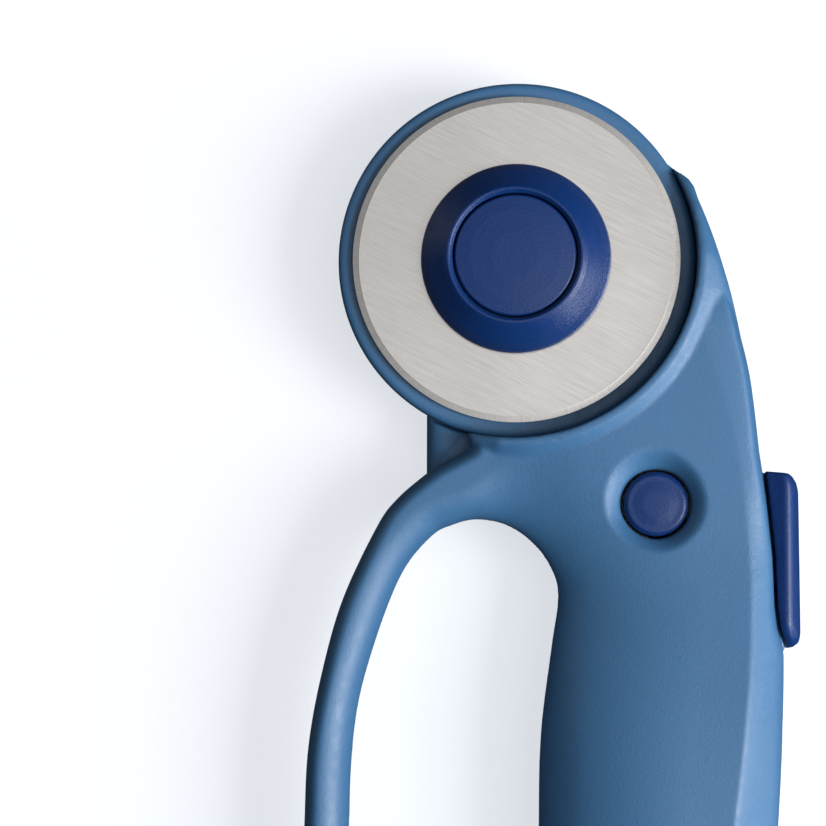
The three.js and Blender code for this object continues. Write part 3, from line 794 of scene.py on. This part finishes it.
def screw_shape(head, head_height, shank, bottom, tip, pitch):
    """A pan-head screw with a cross recess, head down, on a grid of the given pitch."""
    axes = grid((-head, -head, bottom), (head, head, tip), (pitch, pitch, pitch))
    x, y, z = np.meshgrid(*axes, indexing="ij", sparse=True)
    radius = np.hypot(x, y)
    top = both(head - radius, both(z - bottom, bottom + head_height - z), 0.35)
    dome = bottom + 0.35 * (radius / head) ** 2
    top = both(top, z - dome)
    phase = (z / THREAD_PITCH + np.arctan2(y, x) / (2 * math.pi)) % 1
    thread = THREAD_DEPTH * np.abs(phase * 2 - 1)
    stem = both(shank - THREAD_DEPTH + thread - radius, both(z - bottom - 0.3, tip - z), 0.6)
    field = either(top, stem, 0.2)
    taper = (z - bottom) * 0.35
    long_side = head * 0.6 - taper
    short_side = head * 0.17 - 0.3 * taper
    cross = np.maximum(np.minimum(long_side - np.abs(x), short_side - np.abs(y)),
                       np.minimum(long_side - np.abs(y), short_side - np.abs(x)))
    recess = np.minimum(cross, bottom + head_height * 0.55 - z)
    return net(both(field, -recess, 0.12), axes)


long_screw = screw_shape(2.6, 1.8, 1.4, 1.5, LONG_TIP, 0.17)
short_screw = screw_shape(2.6, 1.8, 1.4, 1.5, SHORT_TIP, 0.17)
disc_screw = screw_shape(2.3, 1.6, 1.3, 1.3, 10.5, 0.16)
cap_screw = screw_shape(1.6, 0.8, 0.8, 3.0, 8.6, 0.12)
for n, (sx, sy, tip) in enumerate(SHELL_SCREWS, 1):
    shape = long_screw if tip == LONG_TIP else short_screw
    make_piece(f"shell_fixing_{n}", *shape, screw_steel, "handle", [f"shell_screw_{n}"],
               "screw_steel", (sx, sy))
for n, place in enumerate(GUARD_SCREWS, 1):
    make_piece(f"guard_fixing_{n}", *disc_screw, screw_steel, "handle", [f"guard_screw_{n}"],
               "screw_steel", place)
make_piece("lock_fixing", *cap_screw, screw_steel, "lock", ["lock_screw"], "screw_steel", LOCK)

# ---------------------------------------------------------------- CAD nodes that stay

KEPT = {"blade_carriage": acetal, "blade_washer": acetal, "axle_stud": turned_steel,
        "axle_clip": spring_steel, "link_pin": screw_steel, "detent_spring": spring_steel,
        # the lock's clip takes the steel painted dark as shade for the gap round the lock button
        "detent_screw": screw_steel, "lock_clip": gap_shade_spring, "latch_clip": spring_steel,
        "release_spring": spring_steel}
for name, finish in KEPT.items():
    for material_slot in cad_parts[name].material_slots:
        material_slot.material = finish

# ---------------------------------------------------------------- floor


FLOOR_R = 1.0  # metres; the floor is flat to here, and then curves up into a wall
CURVE_R = 0.6
WALL_TOP = 2.2
FLOOR_DROP = 0.0002  # keeps it clear of the cutter's back
FLOOR_SEGMENTS = 96


def make_floor():
    s = Shade("pale_floor")
    tone = s.span(s.noise(6, 3), 0, 1)
    s.set(base_color=s.mix(tone, linear(150, 152, 156), linear(158, 159, 162)))
    s.set(emission_color=linear(236, 240, 246), emission_strength=0.78)
    s.set(roughness=0.85)
    s.set(normal=s.bump(s.noise(350, 4), 0.05))
    rings = [(0.2, 0.0), (0.6, 0.0), (FLOOR_R, 0.0)]
    for t in np.linspace(0.15, 1.57, 12):
        rings.append((FLOOR_R + CURVE_R * math.sin(t), CURVE_R - CURVE_R * math.cos(t)))
    rings.append((FLOOR_R + CURVE_R, WALL_TOP))
    points = []
    for radius, rise in rings:
        for i in range(FLOOR_SEGMENTS):
            t = 2 * math.pi * i / FLOOR_SEGMENTS
            points.append((radius * math.cos(t), radius * math.sin(t), rise - FLOOR_DROP))
    faces = [list(range(FLOOR_SEGMENTS))]
    for start in range(0, len(points) - FLOOR_SEGMENTS, FLOOR_SEGMENTS):
        for i in range(FLOOR_SEGMENTS):
            a, b = start + i, start + (i + 1) % FLOOR_SEGMENTS
            faces.append([a, a + FLOOR_SEGMENTS, b + FLOOR_SEGMENTS, b])
    mesh = bpy.data.meshes.new("floor")
    mesh.from_pydata(points, [], faces)
    mesh.shade_smooth()
    mesh.materials.append(s.material)
    floor = bpy.data.objects.new("floor", mesh)
    scene.collection.objects.link(floor)
    floor.visible_diffuse = False
    floor.visible_glossy = False


make_floor()
